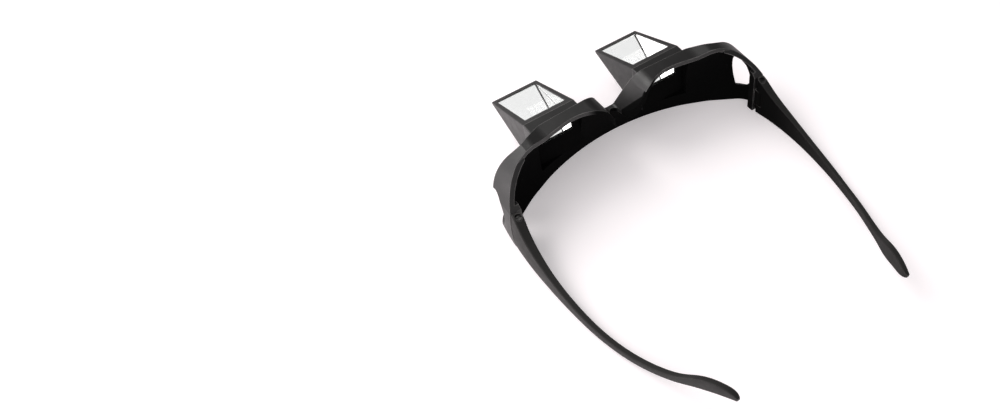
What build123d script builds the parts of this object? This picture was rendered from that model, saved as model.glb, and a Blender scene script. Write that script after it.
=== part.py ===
# Prism bed glasses: a wrap front with two wedge-shaped prism housings and two folding temples.
# They lie upside down, the brow edge on the table. +X runs across, +Y towards the prisms, +Z up.
# The origin is on the table under the centre of the whole object. All sizes are in millimetres.
import os
from math import radians, sqrt, tan

from build123d import *

os.makedirs("parts", exist_ok=True)

# Lengths along Y, measured from the end plane of the two collars
prism_reach = 39.1
temple_reach = 171.7
seam_depth = 36.0
face_y = (temple_reach - prism_reach) / 2
seam_y = face_y - seam_depth

# Widths and heights of the front
brow_half_width = 79.1
shell_height = 45.0
shell_wall = 2.4
shell_back = 42.0
cheek_level = 20.0

# Front in plan: a middle arc, a bend back to the wing and a straight wing to each side.
# How far the two upper levels stand in at the sides
cheek_inset, crown_inset = 0.5, 8.1

# Outer ends of the arc and of the bend, as shares of each level's half width
brow_ends = (0.5689, 0.7332)
cheek_ends = (0.5725, 0.7379)
crown_ends = (0.6338, 0.8169)

# Roundings of the side corner and of the two bends, as shares of each level's half width
brow_rounds = (0.190, 0.759)
cheek_rounds = (0.140, 0.763)
crown_rounds = (0.155, 0.141)

# Places of the arc's middle and end, the wing's start and its side end, from the collars' end plane
brow_places = (1.5, -7.0, -12.9, -26.0)
cheek_places = (-2.8, -6.6, -9.1, -14.2)
crown_places = (-10.8, -11.8, -18.2, -22.0)

# Arch outline in front view: shares of the brow's half width and of the height, with roundings
saddle_level_share = 0.4933
saddle_half_width, saddle_round = 2.6, 1.6
nose_corner_shares, nose_corner_round = (0.1669, 0.9711), 8.0
wing_start_shares, wing_start_round = (0.5815, 0.9600), 14.0
wing_crest_shares, wing_crest_round = (0.6764, 0.9978), 7.0
wing_end_shares = (0.7332, 0.9911)
wing_bend_shares = (0.9001, 0.7822)
side_edge_shares = (1.0164, 0.2667)

# Rear edge of the shelf: shares of the brow's half width and depths, from the nose to the side.
# It reaches far back beside the nose, where it forms two short pads
shelf_rim = [
    (0.0177, 6.2),
    (0.0417, 12.0),
    (0.0683, 17.9),
    (0.1138, 21.3),
    (0.1770, 21.6),
    (0.2529, 18.9),
    (0.3540, 17.2),
    (0.4678, 18.2),
    (0.5942, 20.3),
    (0.7206, 22.9),
    (0.8470, 24.8),
]
shelf_start_depth = 5.7
shelf_depth_side = 26.5
shelf_overreach = 0.9

# Rear edge of the side walls
side_lip_level = 24.5
side_lip_slope = 55.0
side_lip_share = 0.7585

# Oval side windows, flaring outwards: sizes on the outer face and how they shrink inwards
window_depth, window_level = 22.0, 16.9
window_half_length, window_half_height = 8.3, 10.6
window_rear_flare, window_front_flare = 1.25, 0.05
window_root = 6.0

# Collars that carry the prism housings
prism_x = 32.8
collar_width = 29.6
collar_low, collar_high = 6.8, 35.7
collar_side_wall = 1.3
collar_floor_wall = 1.3
collar_roof_wall = 1.1
collar_root_depth = 16.0
collar_round = 0.5
fit_clearance = 0.1

# Prism housings
housing_end_width = 27.5
housing_end_low, housing_end_high = 18.0, 19.2
housing_wall = 1.3
lip_thickness = 0.6
spigot_length = 4.0
spigot_floor = 1.0
spigot_roof = 0.75
end_wall = 2.6
window_rim_near, window_rim_far = 3.7, 2.9
glass_width = 23.4

# Prisms, mirrors and eye masks
prism_width = 24.2
mirror_thickness = 0.35
mask_thickness = 1.5
aperture_width = 18.2
aperture_low, aperture_high = 22.5, 33.6

# Hinges
hinge_inset = 4.0
hinge_setback = 2.7
barrel_radius = 2.3
hinge_gap = 0.2
turning_gap = 0.3
tongue_low, tongue_high = 6.0, 16.0
tongue_gap = 0.15
pad_width, pad_start_depth, pad_full_depth = 7.2, 28.2, 32.0
neck_half_width = 2.3

# Hinge screws and thread inserts
shank_radius = 0.8
running_gap = 0.05
head_radius, head_height, head_top = 1.7, 0.8, 23.4
screw_tip_level = 1.4
slot_width, slot_depth = 0.4, 0.3
insert_radius = 1.45
insert_low, insert_high = 1.0, 5.4

# Temples
temple_height = 24.5
temple_thickness = 5.0
temple_proud = 0.7
temple_crown_share = 0.035
temple_round_share = 0.3
temple_y = seam_y - hinge_gap
temple_length = face_y - temple_reach - temple_y

# Each station: place along the temple, outer face low and high, thickness, lower and upper edge,
# as shares of the temple's length, half width, thickness and height
temple_shares = [
    (0.000, 0.9900, 0.9725, 1.00, 0.000, 1.000),
    (0.020, 0.9925, 0.9745, 1.00, 0.000, 0.970),
    (0.057, 0.9955, 0.9820, 0.94, 0.000, 0.815),
    (0.117, 0.9975, 0.9895, 0.85, 0.004, 0.630),
    (0.205, 0.9930, 0.9895, 0.69, 0.002, 0.468),
    (0.294, 0.9840, 0.9830, 0.61, 0.000, 0.347),
    (0.382, 0.9700, 0.9700, 0.57, 0.000, 0.270),
    (0.471, 0.9500, 0.9500, 0.54, 0.004, 0.224),
    (0.559, 0.9210, 0.9210, 0.54, 0.029, 0.216),
    (0.648, 0.8820, 0.8820, 0.57, 0.088, 0.261),
    (0.736, 0.8285, 0.8285, 0.60, 0.180, 0.355),
    (0.810, 0.7720, 0.7720, 0.61, 0.300, 0.530),
    (0.854, 0.7320, 0.7320, 0.61, 0.392, 0.706),
    (0.899, 0.6970, 0.6970, 0.60, 0.498, 0.845),
    (0.943, 0.6665, 0.6665, 0.59, 0.606, 0.900),
    (0.980, 0.6430, 0.6430, 0.54, 0.695, 0.882),
    (1.000, 0.6330, 0.6330, 0.32, 0.760, 0.825),
]

overrun = 10.0
hinge_x = brow_half_width - hinge_inset
hinge_y = seam_y - hinge_setback
temple_half_width = brow_half_width + temple_proud
saddle_level = saddle_level_share * shell_height
shelf_half_width = brow_half_width + shelf_overreach
lip_inner_x = side_lip_share * brow_half_width
pad_inner_x = brow_half_width - pad_width
floor_slope = (housing_end_low - collar_low) / prism_reach
window_slope = (collar_high - housing_end_high) / prism_reach
floor_stretch = sqrt(1 + floor_slope**2)
window_stretch = sqrt(1 + window_slope**2)
glass_far = prism_reach - window_rim_far
half_collar = collar_width / 2
pocket_low = collar_low + collar_floor_wall
pocket_high = collar_high - collar_roof_wall
pocket_width = collar_width - 2 * collar_side_wall
insert_bore = insert_radius + running_gap
shank_bore = shank_radius + running_gap


# Plane across the temples at a place along Y, with X across and Z up
def cross_plane(y):
    return Plane.XZ.offset(-y)


# Plan outline of the front at one level, moved inwards by an inset
def plan_outline(level, half_width, ends, rounds, places, inset, back):
    plateau_x, wing_x = ends[0] * half_width, ends[1] * half_width
    corner, bend = rounds[0] * half_width, rounds[1] * half_width
    middle, plateau, wing, side = places
    with BuildSketch(Plane.XY.offset(level)) as outline:
        with BuildLine():
            ThreePointArc(
                (-plateau_x, face_y + plateau), (0, face_y + middle), (plateau_x, face_y + plateau)
            )
            Polyline(
                (plateau_x, face_y + plateau),
                (wing_x, face_y + wing),
                (half_width, face_y + side),
                (half_width, face_y - back),
                (-half_width, face_y - back),
                (-half_width, face_y + side),
                (-wing_x, face_y + wing),
                (-plateau_x, face_y + plateau),
            )
        make_face()
        inner_limit = (wing_x + half_width) / 2
        fillet(outline.vertices().filter_by(lambda v: abs(v.X) < inner_limit), radius=bend)
        outer = outline.vertices().filter_by(lambda v: abs(v.X) > inner_limit)
        fillet(outer.sort_by(Axis.Y)[-2:], radius=corner)
        if inset:
            offset(amount=-inset, kind=Kind.INTERSECTION)
    return outline.sketch


# Bulging front from the table to the top, moved inwards by an inset
def front_sections(inset, back):
    cheek_half_width = brow_half_width - cheek_inset
    crown_half_width = brow_half_width - crown_inset
    return [
        plan_outline(0, brow_half_width, brow_ends, brow_rounds, brow_places, inset, back),
        plan_outline(cheek_level, cheek_half_width, cheek_ends, cheek_rounds, cheek_places, inset, back),
        plan_outline(shell_height, crown_half_width, crown_ends, crown_rounds, crown_places, inset, back),
    ]


# Point of the arch from its shares of the brow's half width and of the height
def arch_point(shares):
    return (shares[0] * brow_half_width, shares[1] * shell_height)


# Arch seen from the front, with its notch for the nose; its inset form is open to the table
def arch_outline(inset):
    side_edge_x, side_edge_level = arch_point(side_edge_shares)
    with BuildSketch(cross_plane(face_y + overrun)) as arch:
        with BuildLine():
            FilletPolyline(
                (0, saddle_level),
                (saddle_half_width, saddle_level),
                arch_point(nose_corner_shares),
                arch_point(wing_start_shares),
                arch_point(wing_crest_shares),
                arch_point(wing_end_shares),
                radius=[saddle_round, nose_corner_round, wing_start_round, wing_crest_round],
            )
            ThreePointArc(
                arch_point(wing_end_shares),
                arch_point(wing_bend_shares),
                (side_edge_x, side_edge_level),
            )
            Polyline((side_edge_x, side_edge_level), (side_edge_x, 0), (0, 0))
            mirror(about=Plane.YZ)
        make_face()
        if inset:
            offset(amount=-inset, kind=Kind.INTERSECTION)
            with Locations((0, saddle_level / 4)):
                Rectangle(2 * (side_edge_x - inset), saddle_level / 2)
    return arch.sketch


# Space inside the front: open to the table and to the rear, with pads left beside the hinges
with BuildPart() as front_cavity:
    loft(front_sections(shell_wall, shell_back + overrun))
    extrude(arch_outline(shell_wall), amount=shell_back + 3 * overrun, mode=Mode.INTERSECT)
    for side in (1, -1):
        with BuildSketch(Plane.XY):
            with BuildLine():
                Polyline(
                    (side * brow_half_width, face_y - pad_start_depth),
                    (side * pad_inner_x, face_y - pad_full_depth),
                    (side * pad_inner_x, face_y - shell_back - 2 * overrun),
                    (side * (brow_half_width + overrun), face_y - shell_back - 2 * overrun),
                    (side * (brow_half_width + overrun), face_y - pad_start_depth),
                    close=True,
                )
            make_face()
        extrude(amount=side_lip_level + shell_wall, mode=Mode.SUBTRACT)

with BuildPart() as front_shell:
    loft(front_sections(0, shell_back))
    extrude(arch_outline(0), amount=shell_back + 3 * overrun, mode=Mode.INTERSECT)
    for side in (1, -1):
        with BuildSketch(cross_plane(face_y)):
            with Locations((side * prism_x, (collar_low + collar_high) / 2)):
                RectangleRounded(collar_width, collar_high - collar_low, collar_round)
        extrude(amount=collar_root_depth)
    add(front_cavity.part, mode=Mode.SUBTRACT)

    # Rear edge: seam planes behind the side walls, a slope up to the shelf and the shelf's own rim
    lip_rise = shell_height + overrun - side_lip_level
    lip_run = lip_rise / tan(radians(side_lip_slope))
    with BuildSketch(Plane.YZ.offset(-brow_half_width - overrun)):
        with BuildLine():
            Polyline(
                (seam_y, -overrun),
                (seam_y, side_lip_level),
                (seam_y + lip_run, side_lip_level + lip_rise),
                (seam_y - shell_back, side_lip_level + lip_rise),
                (seam_y - shell_back, -overrun),
                close=True,
            )
        make_face()
    behind_lip = extrude(amount=2 * (brow_half_width + overrun), mode=Mode.PRIVATE)
    with BuildSketch(Plane.XY.offset(-overrun)):
        with Locations((0, seam_y)):
            Rectangle(2 * lip_inner_x, 2 * shell_back)
    behind_middle = extrude(amount=shell_height + 2 * overrun, mode=Mode.PRIVATE)
    with BuildSketch(Plane.XY.offset(-overrun)):
        with BuildLine():
            rim = [(share * brow_half_width, face_y - depth) for share, depth in shelf_rim]
            Spline((0, face_y - shelf_start_depth), *rim, (shelf_half_width, face_y - shelf_depth_side))
            Polyline(
                (shelf_half_width, face_y - shelf_depth_side),
                (shelf_half_width + overrun, face_y - shelf_depth_side),
                (shelf_half_width + overrun, seam_y - shell_back),
                (0, seam_y - shell_back),
                (0, face_y - shelf_start_depth),
            )
        make_face()
        mirror(about=Plane.YZ)
    behind_shelf = extrude(amount=shell_height + 2 * overrun, mode=Mode.PRIVATE)
    add((behind_lip + behind_middle) & behind_shelf, mode=Mode.SUBTRACT)

    for side in (1, -1):
        # Pocket through the collar and the front wall
        with BuildSketch(cross_plane(face_y)):
            with Locations((side * prism_x, (pocket_low + pocket_high) / 2)):
                Rectangle(pocket_width, pocket_high - pocket_low)
        extrude(amount=collar_root_depth + overrun, mode=Mode.SUBTRACT)

        # Oval side window
        for outwards in (-window_root, overrun):
            rear = face_y - window_depth - window_half_length - window_rear_flare * outwards
            front = face_y - window_depth + window_half_length + window_front_flare * outwards
            with BuildSketch(Plane.YZ.offset(side * (brow_half_width + outwards))):
                with Locations(((front + rear) / 2, window_level)):
                    Ellipse((front - rear) / 2, window_half_height)
        loft(mode=Mode.SUBTRACT)

        # Hinge tongue with its bore
        with BuildSketch(Plane.XY.offset(tongue_low)):
            with Locations((side * hinge_x, hinge_y)):
                Circle(barrel_radius)
            with Locations((side * hinge_x, hinge_y + (hinge_setback + shell_wall) / 2)):
                Rectangle(2 * neck_half_width, hinge_setback + shell_wall)
        extrude(amount=tongue_high - tongue_low)
        with BuildSketch(Plane.XY.offset(tongue_low)):
            with Locations((side * hinge_x, hinge_y)):
                Circle(shank_bore)
        extrude(amount=tongue_high - tongue_low, mode=Mode.SUBTRACT)

# Sloping lines of the housing in side view, at a distance along Y from the collar's end plane
def rim_level(y, depth=0):
    return collar_high - depth * window_stretch - y * window_slope


def floor_level(y, depth=0):
    return collar_low + depth * floor_stretch + y * floor_slope


# Outline in side view, extruded evenly to both sides of the prism's middle plane
def side_block(points, width, mode=Mode.ADD):
    with BuildSketch(Plane.YZ.offset(prism_x)) as outline:
        with BuildLine():
            Polyline(*[(face_y + y, z) for y, z in points], close=True)
        make_face()
    extrude(outline.sketch, amount=width / 2, both=True, mode=mode)


spigot_low = pocket_low + fit_clearance
spigot_high = pocket_high - fit_clearance
hollow_low = spigot_low + spigot_floor
hollow_high = spigot_high - spigot_roof
hollow_end = prism_reach - end_wall
hollow_width = prism_width + 2 * fit_clearance
slope_start = (hollow_low - floor_level(0, housing_wall)) / floor_slope
roof_end = (rim_level(0, lip_thickness) - hollow_high) / window_slope
prism_end = hollow_end - fit_clearance
prism_back = spigot_length - fit_clearance
mirror_top = housing_wall + mirror_thickness

with BuildPart() as prism_housing_right:
    side_block(
        [
            (0, floor_level(0)),
            (prism_reach, floor_level(prism_reach)),
            (prism_reach, rim_level(prism_reach)),
            (0, rim_level(0)),
        ],
        collar_width,
    )
    with BuildSketch(Plane.XY):
        with BuildLine():
            Polyline(
                (prism_x - half_collar, face_y),
                (prism_x + half_collar, face_y),
                (prism_x + housing_end_width / 2, face_y + prism_reach),
                (prism_x - housing_end_width / 2, face_y + prism_reach),
                close=True,
            )
        make_face()
    extrude(amount=shell_height, mode=Mode.INTERSECT)
    outer = prism_housing_right.edges().filter_by(lambda e: e.bounding_box().max.Y > face_y + running_gap)
    fillet(outer, radius=collar_round)
    side_block(
        [(0, spigot_low), (0, spigot_high), (-spigot_length, spigot_high), (-spigot_length, spigot_low)],
        pocket_width - 2 * fit_clearance,
    )
    side_block(
        [
            (-spigot_length - overrun, hollow_low),
            (slope_start, hollow_low),
            (hollow_end, floor_level(hollow_end, housing_wall)),
            (hollow_end, rim_level(hollow_end, lip_thickness)),
            (roof_end, hollow_high),
            (-spigot_length - overrun, hollow_high),
        ],
        hollow_width,
        Mode.SUBTRACT,
    )
    side_block(
        [
            (window_rim_near, rim_level(window_rim_near, 2 * lip_thickness)),
            (glass_far, rim_level(glass_far, lip_thickness)),
            (glass_far, collar_high),
            (window_rim_near, collar_high),
        ],
        glass_width,
        Mode.SUBTRACT,
    )

with BuildPart() as prism_right:
    side_block(
        [
            (-prism_back, floor_level(slope_start, mirror_top)),
            (slope_start, floor_level(slope_start, mirror_top)),
            (prism_end, floor_level(prism_end, mirror_top)),
            (prism_end, rim_level(prism_end, lip_thickness + running_gap)),
            (roof_end, hollow_high - fit_clearance),
            (-prism_back, hollow_high - fit_clearance),
        ],
        prism_width,
    )

with BuildPart() as prism_mirror_right:
    side_block(
        [
            (slope_start, floor_level(slope_start, housing_wall)),
            (prism_end, floor_level(prism_end, housing_wall)),
            (prism_end, floor_level(prism_end, mirror_top)),
            (slope_start, floor_level(slope_start, mirror_top)),
        ],
        prism_width,
    )

with BuildPart() as eye_mask_right:
    with BuildSketch(cross_plane(face_y - spigot_length - fit_clearance)):
        with Locations((prism_x, (spigot_low + spigot_high) / 2)):
            Rectangle(pocket_width - 2 * fit_clearance, spigot_high - spigot_low)
        with Locations((prism_x, (aperture_low + aperture_high) / 2)):
            Rectangle(aperture_width, aperture_high - aperture_low, mode=Mode.SUBTRACT)
    extrude(amount=mask_thickness)

# Temple: rounded sections from the hinge slab to the drop-shaped ear end
with BuildPart() as temple_right:
    for along, out_low, out_high, thick, low, high in temple_shares:
        x_low, x_high = out_low * temple_half_width, out_high * temple_half_width
        z_low, z_high = low * temple_height, high * temple_height
        thickness = thick * temple_thickness
        crown = temple_crown_share * (z_high - z_low)
        with BuildSketch(cross_plane(temple_y + along * temple_length)):
            with BuildLine():
                ThreePointArc(
                    (x_low, z_low),
                    ((x_low + x_high) / 2 + crown, (z_low + z_high) / 2),
                    (x_high, z_high),
                )
                Polyline(
                    (x_high, z_high),
                    (x_high - thickness, z_high),
                    (x_high - thickness, z_low),
                    (x_low, z_low),
                )
            section = make_face()
            fillet(section.vertices(), radius=temple_round_share * min(thickness, z_high - z_low) / 2)
    loft()

    # Rounded inner corner, so that the knuckles turn clear of the front
    with BuildSketch(Plane.XY.offset(-overrun)):
        with Locations((hinge_x - temple_thickness / 2, hinge_y + temple_thickness / 2)):
            Rectangle(temple_thickness, temple_thickness)
        with Locations((hinge_x, hinge_y)):
            Circle(barrel_radius, mode=Mode.SUBTRACT)
    extrude(amount=temple_height + 2 * overrun, mode=Mode.SUBTRACT)

    # Slot between the knuckles, closed on the outside by a cheek
    with BuildSketch(Plane.XY.offset(tongue_low - tongue_gap)):
        slot_back = hinge_y - barrel_radius - turning_gap
        slot_out = hinge_x + neck_half_width + turning_gap
        slot_in = hinge_x - 2 * temple_thickness
        with Locations(((slot_in + slot_out) / 2, (slot_back + seam_y + overrun) / 2)):
            Rectangle(slot_out - slot_in, seam_y + overrun - slot_back)
    extrude(amount=tongue_high - tongue_low + 2 * tongue_gap, mode=Mode.SUBTRACT)

    # Bores for the screw, its head and the thread insert
    with BuildSketch(Plane.XY.offset(tongue_low)):
        with Locations((hinge_x, hinge_y)):
            Circle(shank_bore)
    extrude(amount=temple_height, mode=Mode.SUBTRACT)
    with BuildSketch(Plane.XY.offset(head_top - head_height)):
        with Locations((hinge_x, hinge_y)):
            Circle(head_radius + running_gap)
    extrude(amount=temple_height, mode=Mode.SUBTRACT)
    with BuildSketch(Plane.XY.offset(insert_low)):
        with Locations((hinge_x, hinge_y)):
            Circle(insert_bore)
    extrude(amount=tongue_low - insert_low, mode=Mode.SUBTRACT)

with BuildPart() as hinge_screw_right:
    with BuildSketch(Plane.XY.offset(screw_tip_level)):
        with Locations((hinge_x, hinge_y)):
            Circle(shank_radius)
    extrude(amount=head_top - head_height - screw_tip_level)
    with BuildSketch(Plane.XY.offset(head_top - head_height)):
        with Locations((hinge_x, hinge_y)):
            Circle(head_radius)
    extrude(amount=head_height)
    with BuildSketch(Plane.XY.offset(head_top - slot_depth)):
        with Locations((hinge_x, hinge_y)):
            Rectangle(2 * head_radius, slot_width)
    extrude(amount=slot_depth, mode=Mode.SUBTRACT)

with BuildPart() as hinge_insert_right:
    with BuildSketch(Plane.XY.offset(insert_low)):
        with Locations((hinge_x, hinge_y)):
            Circle(insert_radius)
            Circle(shank_bore, mode=Mode.SUBTRACT)
    extrude(amount=insert_high - insert_low)

front_shell.part.label = "front_shell"
export_step(front_shell.part, "parts/front_shell.step")

# Each paired piece is written for the right side and mirrored for the left side
pairs = {
    "prism_housing": prism_housing_right,
    "prism": prism_right,
    "prism_mirror": prism_mirror_right,
    "eye_mask": eye_mask_right,
    "temple": temple_right,
    "hinge_screw": hinge_screw_right,
    "hinge_insert": hinge_insert_right,
}
for name, right in pairs.items():
    right.part.label = name + "_right"
    export_step(right.part, "parts/" + right.part.label + ".step")
    with BuildPart() as left:
        mirror(right.part, about=Plane.YZ)
    left.part.label = name + "_left"
    export_step(left.part, "parts/" + left.part.label + ".step")
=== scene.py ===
import math

import bmesh
import bpy
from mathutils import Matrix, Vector


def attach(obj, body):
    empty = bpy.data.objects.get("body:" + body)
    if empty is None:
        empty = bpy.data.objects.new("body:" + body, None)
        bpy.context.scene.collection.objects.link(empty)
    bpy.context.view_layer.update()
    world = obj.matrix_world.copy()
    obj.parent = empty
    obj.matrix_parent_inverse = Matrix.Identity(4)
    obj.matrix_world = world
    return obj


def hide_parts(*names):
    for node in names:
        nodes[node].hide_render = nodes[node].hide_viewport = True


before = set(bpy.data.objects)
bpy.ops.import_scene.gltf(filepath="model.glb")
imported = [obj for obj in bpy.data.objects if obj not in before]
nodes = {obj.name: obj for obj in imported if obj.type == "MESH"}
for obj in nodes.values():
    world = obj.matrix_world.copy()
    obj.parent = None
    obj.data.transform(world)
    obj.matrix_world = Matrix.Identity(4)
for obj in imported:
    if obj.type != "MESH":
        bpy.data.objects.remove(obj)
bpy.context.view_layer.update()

# Lengths are in metres. Each of these three lines runs straight between two places:
# from and to along X (or up Z for the side), then the depth along Y at both
SHELF_RIM = (0.045, 0.062, 0.0505, 0.0435)
SIDE_RIM = (0.0245, 0.0445, 0.0309, 0.0449)
PAD_RIM = (0.003, 0.010, 0.0563, 0.0460)
PAD_HALF_WIDTH = 0.0115

# Pocket of the eye mask in the front: distance from the middle of the part, half width and ends
PRISM_X = 0.0328
POCKET_X, POCKET_HALF_WIDTH = 0.0334, 0.0179
POCKET_TOP, POCKET_FRONT, SILL_TOP = 0.0405, 0.0655, 0.02

# How far the prism stands clear of its housing, and how its edges are broken
PRISM_SHRINK = 0.995
PRISM_EDGE = 0.00022
WELD = 0.00001

# Dull black of the surfaces facing the wearer, partly a matte finish and partly painted shade
LINING_AND_SHADE = (0.0025, 0.0025, 0.0025)
# Painted highlight colours for the edges
EDGE_HIGHLIGHT = (0.15, 0.146, 0.143)
SHELL_EDGE_HIGHLIGHT = (0.2, 0.194, 0.19)
WHITE = (1.0, 1.0, 1.0, 1.0)


# Small helpers for node trees
def new_material(name):
    material = bpy.data.materials.new(name)
    material.use_nodes = True
    tree = material.node_tree
    tree.nodes.clear()
    out = tree.nodes.new("ShaderNodeOutputMaterial")
    shader = tree.nodes.new("ShaderNodeBsdfPrincipled")
    tree.links.new(shader.outputs[0], out.inputs["Surface"])
    return material, tree, shader


def node(tree, kind, **values):
    made = tree.nodes.new(kind)
    for key, value in values.items():
        if key.startswith("in_"):
            made.inputs[key[3:].replace("_", " ")].default_value = value
        else:
            setattr(made, key, value)
    return made


def noise(tree, coords, scale, detail=3.0, rough=0.5, stretch=None):
    made = node(tree, "ShaderNodeTexNoise", in_Scale=scale, in_Detail=detail, in_Roughness=rough)
    source = coords
    if stretch:
        mapping = node(tree, "ShaderNodeMapping")
        mapping.inputs["Scale"].default_value = stretch
        tree.links.new(coords, mapping.inputs["Vector"])
        source = mapping.outputs[0]
    tree.links.new(source, made.inputs["Vector"])
    return made.outputs["Fac"]


def spread(tree, value, low, high, new_low, new_high):
    made = node(tree, "ShaderNodeMapRange")
    numbers = {"From Min": low, "From Max": high, "To Min": new_low, "To Max": new_high}
    for key, number in numbers.items():
        made.inputs[key].default_value = number
    tree.links.new(value, made.inputs["Value"])
    return made.outputs[0]


def ramp(tree, value, stops):
    made = tree.nodes.new("ShaderNodeValToRGB")
    elements = made.color_ramp.elements
    while len(elements) < len(stops):
        elements.new(0.5)
    for element, (place, colour) in zip(elements, stops):
        element.position = place
        element.color = (*colour, 1.0)
    tree.links.new(value, made.inputs[0])
    return made.outputs[0]


def mix(tree, factor, first, second):
    made = node(tree, "ShaderNodeMix", data_type="RGBA")
    tree.links.new(factor, made.inputs["Factor"])
    for socket, value in ((made.inputs[6], first), (made.inputs[7], second)):
        if isinstance(value, tuple):
            socket.default_value = (*value, 1.0)
        else:
            tree.links.new(value, socket)
    return made.outputs[2]


# One value worked out from one or two others
def maths(tree, operation, first, second=None, clamp=False):
    made = node(tree, "ShaderNodeMath", operation=operation, use_clamp=clamp)
    for socket, value in zip(made.inputs, (first, second)):
        if isinstance(value, float):
            socket.default_value = value
        elif value is not None:
            tree.links.new(value, socket)
    return made.outputs[0]


def grey(value):
    return (value, value, value)


def split(tree, vector):
    made = node(tree, "ShaderNodeSeparateXYZ")
    tree.links.new(vector, made.inputs[0])
    return made.outputs


# Direction that a face looks in, turned with its object, so that it stays the same in every pose
def facing_of(tree):
    turned = node(tree, "ShaderNodeVectorTransform", vector_type="NORMAL")
    turned.convert_from, turned.convert_to = "WORLD", "OBJECT"
    tree.links.new(node(tree, "ShaderNodeNewGeometry").outputs["True Normal"], turned.inputs[0])
    return split(tree, turned.outputs[0])


def blend(tree, factor, first, second):
    made = node(tree, "ShaderNodeMix", data_type="FLOAT")
    for place, value in ((0, factor), (2, first), (3, second)):
        socket = made.inputs[place]
        if isinstance(value, float):
            socket.default_value = value
        else:
            tree.links.new(value, socket)
    return made.outputs[0]


# Mask of the surfaces that face the wearer, given a dull deep black that is partly a matte inner
# finish and partly painted shade.
# On a temple it fades out towards the ear, a painted shade that is deepest by the hinge. On the
# front it leaves out the narrow faces of the rear rim, takes in the walls of the mask's pocket, and
# covers the ends of the two pads beside the nose, where the shade is painted too
def lining_and_shade_mask(tree, coords, kind):
    place = split(tree, coords)
    facing = facing_of(tree)
    across = maths(tree, "MULTIPLY", facing["X"], maths(tree, "SIGN", place["X"]))
    to_middle = spread(tree, across, -0.35, -0.6, 0.0, 1.0)
    if kind == "temple":
        # Painted shade: full by the hinge, fading to a quarter towards the ear
        fade = spread(tree, place["Y"], -0.055, 0.015, 0.25, 1.0)
        return maths(tree, "MULTIPLY", to_middle, fade)
    side = maths(tree, "ABSOLUTE", place["X"])

    # Rear faces, ahead of the rim or beside the nose, and undersides, painted dark as shade in the
    # interior
    beside = spread(tree, side, 0.0612, 0.0618, 0.0, 1.0)
    rim = blend(tree, beside, spread(tree, side, *SHELF_RIM), spread(tree, place["Z"], *SIDE_RIM))
    ahead = spread(tree, maths(tree, "SUBTRACT", place["Y"], rim), -0.0003, 0.0003, 0.0, 1.0)
    ahead = maths(tree, "MAXIMUM", ahead, spread(tree, side, 0.017, 0.021, 1.0, 0.0))
    to_rear = maths(tree, "MULTIPLY", spread(tree, facing["Y"], -0.2, -0.5, 0.0, 1.0), ahead)
    to_table = spread(tree, facing["Z"], -0.2, -0.4, 0.0, 1.0)
    side_walls = maths(tree, "MULTIPLY", to_middle, spread(tree, side, 0.050, 0.056, 0.0, 1.0))

    # Upright walls and sill of the pocket, painted dark as shade in the recess
    pocket = maths(tree, "COMPARE", side, POCKET_X)
    pocket.node.inputs[2].default_value = POCKET_HALF_WIDTH
    pocket = maths(tree, "MULTIPLY", pocket, maths(tree, "LESS_THAN", place["Z"], POCKET_TOP))
    pocket = maths(tree, "MULTIPLY", pocket, maths(tree, "LESS_THAN", place["Y"], POCKET_FRONT))
    from_prism = maths(tree, "SIGN", maths(tree, "SUBTRACT", side, PRISM_X))
    upright = maths(tree, "LESS_THAN", maths(tree, "MULTIPLY", across, from_prism), -0.7)
    low = maths(tree, "LESS_THAN", place["Z"], SILL_TOP)
    sill = maths(tree, "MULTIPLY", low, maths(tree, "GREATER_THAN", facing["Z"], 0.5))
    pocket = maths(tree, "MULTIPLY", pocket, maths(tree, "MAXIMUM", upright, sill))

    # Ends of the pads, painted dark as shade
    past_rim = maths(tree, "SUBTRACT", place["Y"], spread(tree, side, *PAD_RIM))
    pad_end = spread(tree, past_rim, -0.0006, 0.0, 1.0, 0.0)
    pad_end = maths(tree, "MULTIPLY", pad_end, maths(tree, "LESS_THAN", side, PAD_HALF_WIDTH))

    mask = to_rear
    for more in (to_table, side_walls, pocket, pad_end):
        mask = maths(tree, "MAXIMUM", mask, more)
    return mask


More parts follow.
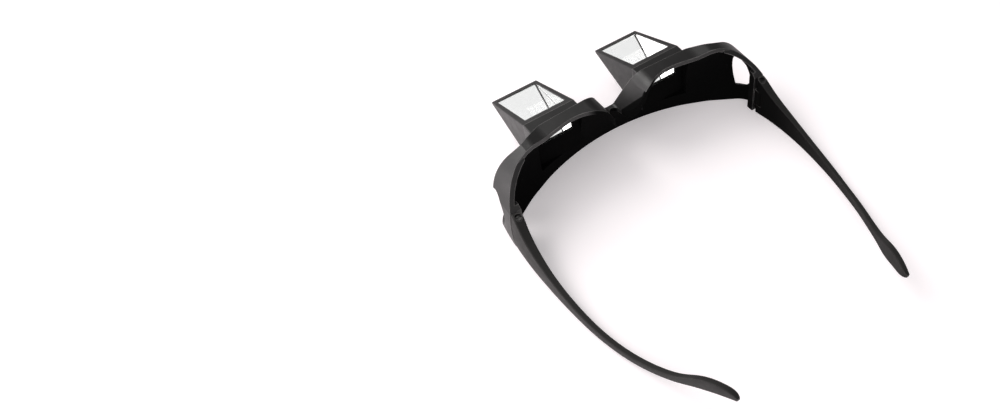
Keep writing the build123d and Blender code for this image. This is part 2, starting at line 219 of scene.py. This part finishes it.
# Moulded black plastic: fine spark grain, faint cloudiness, a painted highlight along the edges,
# and a dull deep black, partly a matte finish and partly painted shade, on the surfaces that face
# the wearer where the piece has such
def moulded(name, dark, light, edge, rough, grain, rounding, gloss, inner=None):
    material, tree, shader = new_material(name)
    coords = node(tree, "ShaderNodeTexCoord").outputs["Object"]
    body = ramp(tree, noise(tree, coords, 38.0, 5.0, 0.55), [(0.34, dark), (0.68, light)])
    bevel = node(tree, "ShaderNodeBevel", samples=6, in_Radius=rounding)
    dot = node(tree, "ShaderNodeVectorMath", operation="DOT_PRODUCT")
    tree.links.new(bevel.outputs[0], dot.inputs[0])
    tree.links.new(node(tree, "ShaderNodeNewGeometry").outputs["Normal"], dot.inputs[1])
    # Painted highlight on the edges, uneven in patches, where a rounded arris would catch light
    edge_highlight = spread(tree, dot.outputs["Value"], 0.996, 0.92, 0.0, 1.0)
    patchy = spread(tree, noise(tree, coords, 220.0, 3.0), 0.35, 0.6, 0.45, 1.0)
    colour = mix(tree, maths(tree, "MULTIPLY", edge_highlight, patchy, True), body, edge)
    uneven = noise(tree, coords, 160.0, 4.0, 0.6)
    roughness = spread(tree, uneven, 0.3, 0.7, rough - 0.05, rough + 0.06)
    if inner:
        # Painted shade with a dull lining: near-black colour, high roughness and little reflection
        # on the wearer's side
        mask = lining_and_shade_mask(tree, coords, inner)
        colour = mix(tree, mask, colour, LINING_AND_SHADE)
        roughness = blend(tree, mask, roughness, 0.95)
        specular = spread(tree, mask, 0.0, 1.0, gloss, 0.06)
        tree.links.new(specular, shader.inputs["Specular IOR Level"])
    else:
        shader.inputs["Specular IOR Level"].default_value = gloss
    tree.links.new(colour, shader.inputs["Base Color"])
    tree.links.new(roughness, shader.inputs["Roughness"])
    grainy = maths(tree, "ADD", noise(tree, coords, 5200.0, 2.0), noise(tree, coords, 1500.0, 2.0))
    bump = node(tree, "ShaderNodeBump", in_Strength=grain, in_Distance=0.00004)
    tree.links.new(grainy, bump.inputs["Height"])
    tree.links.new(bevel.outputs[0], bump.inputs["Normal"])
    tree.links.new(bump.outputs[0], shader.inputs["Normal"])
    shader.inputs["IOR"].default_value = 1.5
    return material


# Prism: clear on its upper, eye and mirror faces, silvered on its sides and on its far end
def clear_plastic():
    material, tree, shader = new_material("clear_acrylic")
    coords = node(tree, "ShaderNodeTexCoord").outputs["Object"]
    facing = facing_of(tree)
    sideways = spread(tree, maths(tree, "ABSOLUTE", facing["X"]), 0.4, 0.6, 0.0, 1.0)
    ahead = spread(tree, facing["Y"], 0.6, 0.8, 0.0, 1.0)
    silver = maths(tree, "MAXIMUM", sideways, ahead)
    tree.links.new(silver, shader.inputs["Metallic"])
    smears = noise(tree, coords, 90.0, 4.0, 0.6, (1.0, 0.35, 1.0))
    tree.links.new(spread(tree, smears, 0.45, 0.8, 0.0, 0.02), shader.inputs["Roughness"])
    colour = mix(tree, silver, (0.99, 0.992, 0.99), (0.95, 0.95, 0.945))
    tree.links.new(colour, shader.inputs["Base Color"])
    bump = node(tree, "ShaderNodeBump", in_Strength=0.03, in_Distance=0.00002)
    tree.links.new(noise(tree, coords, 60.0, 2.0), bump.inputs["Height"])
    tree.links.new(bump.outputs[0], shader.inputs["Normal"])
    shader.inputs["Transmission Weight"].default_value = 1.0
    shader.inputs["IOR"].default_value = 1.33
    return material


# Mask plate: black towards the wearer, silvered towards the prism
def mask_plate():
    material, tree, shader = new_material("mask_plate")
    coords = node(tree, "ShaderNodeTexCoord").outputs["Object"]
    facing = facing_of(tree)
    silver = spread(tree, facing["Y"], 0.4, 0.6, 0.0, 1.0)
    rear = spread(tree, facing["Y"], -0.6, -0.4, 1.0, 0.0)
    grain = noise(tree, coords, 900.0, 3.0)
    edge = ramp(tree, grain, [(0.3, grey(0.02)), (0.7, grey(0.03))])
    plate = ramp(tree, grain, [(0.3, grey(0.0022)), (0.7, grey(0.003))])
    black = mix(tree, rear, edge, plate)
    tree.links.new(mix(tree, silver, black, grey(0.94)), shader.inputs["Base Color"])
    tree.links.new(silver, shader.inputs["Metallic"])
    tree.links.new(spread(tree, silver, 0.0, 1.0, 0.9, 0.03), shader.inputs["Roughness"])
    tree.links.new(spread(tree, rear, 0.0, 1.0, 0.4, 0.05), shader.inputs["Specular IOR Level"])
    return material


# Silver coat with faint specks
def silvered():
    material, tree, shader = new_material("silvered_coat")
    coords = node(tree, "ShaderNodeTexCoord").outputs["Object"]
    specks = ramp(tree, noise(tree, coords, 700.0, 3.0), [(0.3, grey(0.92)), (0.7, grey(0.96))])
    haze = spread(tree, noise(tree, coords, 120.0, 3.0), 0.3, 0.7, 0.01, 0.03)
    tree.links.new(specks, shader.inputs["Base Color"])
    tree.links.new(haze, shader.inputs["Roughness"])
    shader.inputs["Metallic"].default_value = 1.0
    return material


# Metal turned on a lathe, with fine rings around Z
def turned_metal(name, dark, light, rough):
    material, tree, shader = new_material(name)
    coords = node(tree, "ShaderNodeTexCoord").outputs["Object"]
    rings = noise(tree, coords, 900.0, 3.0, 0.5, (1.0, 1.0, 4.0))
    colour = ramp(tree, rings, [(0.3, dark), (0.7, light)])
    roughness = spread(tree, rings, 0.3, 0.7, rough - 0.06, rough + 0.08)
    tree.links.new(colour, shader.inputs["Base Color"])
    tree.links.new(roughness, shader.inputs["Roughness"])
    bump = node(tree, "ShaderNodeBump", in_Strength=0.25, in_Distance=0.00002)
    tree.links.new(rings, bump.inputs["Height"])
    tree.links.new(bump.outputs[0], shader.inputs["Normal"])
    shader.inputs["Metallic"].default_value = 1.0
    shader.inputs["Anisotropic"].default_value = 0.4
    return material


shell = moulded(
    "soft_shell_black", dark=(0.013, 0.0125, 0.0125), light=(0.019, 0.0182, 0.018), edge=SHELL_EDGE_HIGHLIGHT,
    rough=0.42, grain=0.35, rounding=0.0005, gloss=0.5, inner="front",
)
housing = moulded(
    "soft_housing_black", dark=(0.011, 0.0106, 0.0105), light=(0.016, 0.0154, 0.0152), edge=EDGE_HIGHLIGHT,
    rough=0.44, grain=0.3, rounding=0.0004, gloss=0.40,
)
temple = moulded(
    "satin_temple_black", dark=(0.013, 0.0122, 0.0118), light=(0.02, 0.0188, 0.0182), edge=EDGE_HIGHLIGHT,
    rough=0.54, grain=0.3, rounding=0.0005, gloss=0.22, inner="temple",
)
mask = mask_plate()
clear = clear_plastic()

looks = {
    "front_shell": shell,
    "prism_housing": housing,
    "prism_mirror": silvered(),
    "prism": clear,
    "eye_mask": mask,
    "temple": temple,
    "hinge_screw": turned_metal("blackened_steel", grey(0.05), (0.10, 0.097, 0.095), 0.42),
    "hinge_insert": turned_metal("turned_brass", (0.55, 0.41, 0.17), (0.72, 0.56, 0.27), 0.3),
}
for name, piece in nodes.items():
    kind = name.removesuffix("_left").removesuffix("_right")
    piece.data.materials.clear()
    piece.data.materials.append(looks[kind])


# Object made from a bmesh, linked and dressed
def placed(name, form, material):
    mesh = bpy.data.meshes.new(name)
    form.to_mesh(mesh)
    form.free()
    mesh.materials.append(material)
    piece = bpy.data.objects.new(name, mesh)
    bpy.context.scene.collection.objects.link(piece)
    return piece


# Each prism stands a hair clear of its silvering and of its housing, with its edges broken
def polished(name, source):
    form = bmesh.new()
    form.from_mesh(source.data)
    bmesh.ops.remove_doubles(form, verts=form.verts, dist=WELD)
    flat = math.radians(1.0)
    bmesh.ops.dissolve_limit(form, angle_limit=flat, verts=form.verts, edges=form.edges)
    centre = sum((v.co for v in form.verts), Vector()) / len(form.verts)
    for v in form.verts:
        v.co = centre + (v.co - centre) * PRISM_SHRINK
    edges = list(form.edges)
    bmesh.ops.bevel(form, geom=edges, offset=PRISM_EDGE, segments=2, affect="EDGES", profile=0.5)
    return placed(name, form, clear)


for side in ("left", "right"):
    piece = polished("polished_prism_" + side, nodes["prism_" + side])
    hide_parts("prism_" + side)
    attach(piece, "front")

# Paths through the prisms need many turns before they reach the light
bpy.context.scene.cycles.max_bounces = 24
bpy.context.scene.cycles.glossy_bounces = 12
bpy.context.scene.cycles.transmission_bounces = 16


# Camera at the photograph's viewing angle
data = bpy.data.cameras.new("camera")
camera = bpy.data.objects.new("camera", data)
bpy.context.scene.collection.objects.link(camera)
azimuth, elevation = math.radians(-37.332), math.radians(52.772)
level = math.cos(elevation)
back = Vector((math.sin(azimuth) * level, -math.cos(azimuth) * level, math.sin(elevation)))
camera.location = (-0.15777, -0.21412, 0.35216)
camera.rotation_mode = "QUATERNION"
camera.rotation_quaternion = (-back).to_track_quat("-Z", "Y")
data.lens = 31.18
data.sensor_width = 36.0
data.shift_x = -0.19
data.clip_start = 0.01
data.clip_end = 20.0
bpy.context.scene.camera = camera


# White world for the camera and for what is seen through glass. For everything else it is softer,
# and gloss finds it brighter on the left than on the right
world = bpy.data.worlds.new("studio")
bpy.context.scene.world = world
world.use_nodes = True
tree = world.node_tree
tree.nodes.clear()
paths = tree.nodes.new("ShaderNodeLightPath")
seen = maths(tree, "MAXIMUM", paths.outputs["Is Camera Ray"], paths.outputs["Is Transmission Ray"])
across = split(tree, node(tree, "ShaderNodeTexCoord").outputs["Generated"])["X"]
from_left = spread(tree, across, -0.6, 0.2, 0.38, 0.0)
from_middle = spread(tree, across, 0.2, 0.5, 0.36, 0.02)
gloss_light = maths(tree, "ADD", from_left, from_middle)
indirect = blend(tree, paths.outputs["Is Glossy Ray"], 0.5, gloss_light)
background = node(tree, "ShaderNodeBackground", in_Color=WHITE)
tree.links.new(blend(tree, seen, indirect, 1.0), background.inputs["Strength"])
out = tree.nodes.new("ShaderNodeOutputWorld")
tree.links.new(background.outputs[0], out.inputs["Surface"])


# Pale floor that shows white and keeps the shadow. Gloss finds it darker on the right
FLOOR_REACH, FLOOR_LEVEL = 3.0, -0.0002
FLOOR_GLOW = 0.27
material = bpy.data.materials.new("pale_floor")
material.use_nodes = True
tree = material.node_tree
tree.nodes.clear()
coords = node(tree, "ShaderNodeTexCoord").outputs["Object"]
tones = [(0.3, (0.91, 0.865, 0.88)), (0.7, (0.92, 0.875, 0.89))]
tone = ramp(tree, noise(tree, coords, 14.0, 4.0), tones)
paths = tree.nodes.new("ShaderNodeLightPath")
to_right = spread(tree, split(tree, coords)["X"], -0.05, 0.35, 0.0, 0.75)
dimmed = maths(tree, "MULTIPLY", to_right, paths.outputs["Is Glossy Ray"])
diffuse = tree.nodes.new("ShaderNodeBsdfDiffuse")
tree.links.new(mix(tree, dimmed, tone, grey(0.05)), diffuse.inputs["Color"])
seen = maths(tree, "MAXIMUM", paths.outputs["Is Camera Ray"], paths.outputs["Is Transmission Ray"])
seen = maths(tree, "MAXIMUM", seen, maths(tree, "SUBTRACT", paths.outputs["Is Glossy Ray"], dimmed))
glow = node(tree, "ShaderNodeEmission", in_Color=(1.0, 0.965, 0.978, 1.0))
tree.links.new(maths(tree, "MULTIPLY", seen, FLOOR_GLOW), glow.inputs["Strength"])
both = tree.nodes.new("ShaderNodeAddShader")
tree.links.new(diffuse.outputs[0], both.inputs[0])
tree.links.new(glow.outputs[0], both.inputs[1])
out = tree.nodes.new("ShaderNodeOutputMaterial")
tree.links.new(both.outputs[0], out.inputs["Surface"])

form = bmesh.new()
ends = (-FLOOR_REACH, FLOOR_REACH)
corners = [(ends[0], ends[0]), (ends[1], ends[0]), (ends[1], ends[1]), (ends[0], ends[1])]
form.faces.new([form.verts.new((x, y, FLOOR_LEVEL)) for x, y in corners])
floor = placed("floor", form, material)


# Soft square studio lamps: place, target, side length, power and colour
def lamp(name, place, target, size, power, colour):
    light = bpy.data.lights.new(name, "AREA")
    light.shape = "SQUARE"
    light.size = size
    light.energy = power
    light.color = colour
    made = bpy.data.objects.new(name, light)
    made.location = place
    made.rotation_mode = "QUATERNION"
    made.rotation_quaternion = (Vector(target) - Vector(place)).to_track_quat("-Z", "Y")
    bpy.context.scene.collection.objects.link(made)


lamp("key_lamp", (-0.45, 0.75, 0.95), (0.0, 0.0, 0.0), 0.9, 9.0, (1.0, 0.985, 0.97))
lamp("fill_lamp", (-0.9, -0.35, 0.8), (0.0, 0.0, 0.0), 0.9, 4.0, (1.0, 0.955, 0.965))
lamp("side_lamp", (-1.1, 0.55, 0.24), (-0.07, 0.04, 0.02), 0.6, 4.5, (1.0, 0.945, 0.96))

bpy.context.scene.view_settings.view_transform = "Standard"
